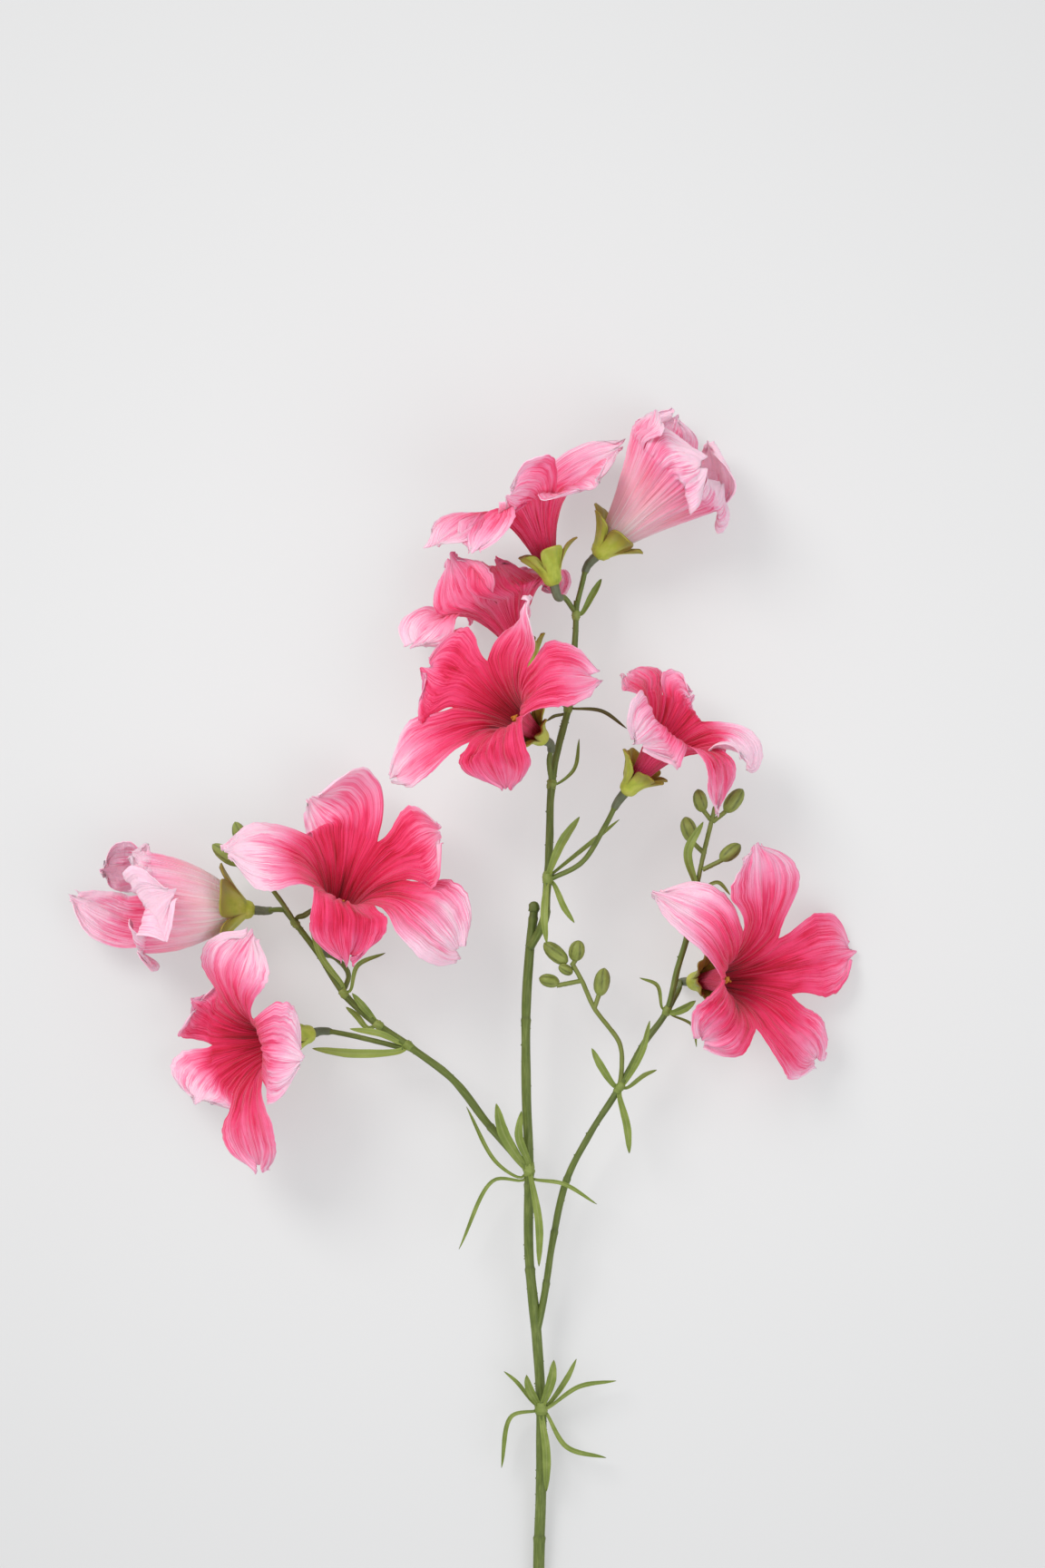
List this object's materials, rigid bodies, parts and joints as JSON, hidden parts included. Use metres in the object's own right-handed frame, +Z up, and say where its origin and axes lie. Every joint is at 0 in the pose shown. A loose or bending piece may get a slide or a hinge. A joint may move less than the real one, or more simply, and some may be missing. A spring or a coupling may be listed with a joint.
{
  "type": "artificial petunia flower spray",
  "caption": "Lying spray of artificial petunias: branching plastic stem with pink cloth trumpet blossoms, lobed calyxes, closed buds and whorls of narrow leaves.",
  "frame": {"origin": "centre of the bounding box in plan, on the surface that the spray lies on", "axes": "+Z up from the surface, +Y along the spray from the cut end towards the top blossoms, +X to the right seen from above"},
  "size_m": [0.3132, 0.5198, 0.0808],
  "materials": {
    "petal_cloth": "matt crinkled cloth, pale pink edges running to a crimson throat",
    "calyx_plastic": "soft satin, yellow-green with a brown blush",
    "stamen_plastic": "matt orange-yellow",
    "stalk_plastic": "satin olive green, grey-green sleeve at the flower end",
    "stem_plastic": "satin olive green with faint mould ridges",
    "bud_plastic": "satin olive green",
    "leaf_plastic": "satin mid green with a paler midrib"
  },
  "bodies": {
    "root": {"main_stem": "stem_plastic", "upper_stem": "stem_plastic", "left_branch": "stem_plastic", "right_branch": "stem_plastic", "corolla_1": "petal_cloth", "calyx_1": "calyx_plastic", "stamen_1": "stamen_plastic", "pedicel_1": "stalk_plastic", "corolla_2": "petal_cloth", "calyx_2": "calyx_plastic", "stamen_2": "stamen_plastic", "pedicel_2": "stalk_plastic", "corolla_3": "petal_cloth", "calyx_3": "calyx_plastic", "stamen_3": "stamen_plastic", "pedicel_3": "stalk_plastic", "corolla_4": "petal_cloth", "calyx_4": "calyx_plastic", "stamen_4": "stamen_plastic", "pedicel_4": "stalk_plastic", "corolla_5": "petal_cloth", "calyx_5": "calyx_plastic", "stamen_5": "stamen_plastic", "pedicel_5": "stalk_plastic", "corolla_6": "petal_cloth", "calyx_6": "calyx_plastic", "stamen_6": "stamen_plastic", "pedicel_6": "stalk_plastic", "corolla_7": "petal_cloth", "calyx_7": "calyx_plastic", "stamen_7": "stamen_plastic", "pedicel_7": "stalk_plastic", "corolla_8": "petal_cloth", "calyx_8": "calyx_plastic", "stamen_8": "stamen_plastic", "pedicel_8": "stalk_plastic", "corolla_9": "petal_cloth", "calyx_9": "calyx_plastic", "stamen_9": "stamen_plastic", "pedicel_9": "stalk_plastic", "bud_sprig_centre": "bud_plastic", "bud_sprig_right": "bud_plastic", "bud_sprig_left": "bud_plastic", "whorl_a": "leaf_plastic", "whorl_b": "leaf_plastic", "whorl_c": "leaf_plastic", "whorl_d": "leaf_plastic", "whorl_e": "leaf_plastic", "whorl_f": "leaf_plastic", "whorl_g": "leaf_plastic", "whorl_h": "leaf_plastic", "whorl_i": "leaf_plastic", "whorl_j": "leaf_plastic", "whorl_k": "leaf_plastic", "whorl_l": "leaf_plastic", "whorl_m": "leaf_plastic"}
  },
  "joints": []
}
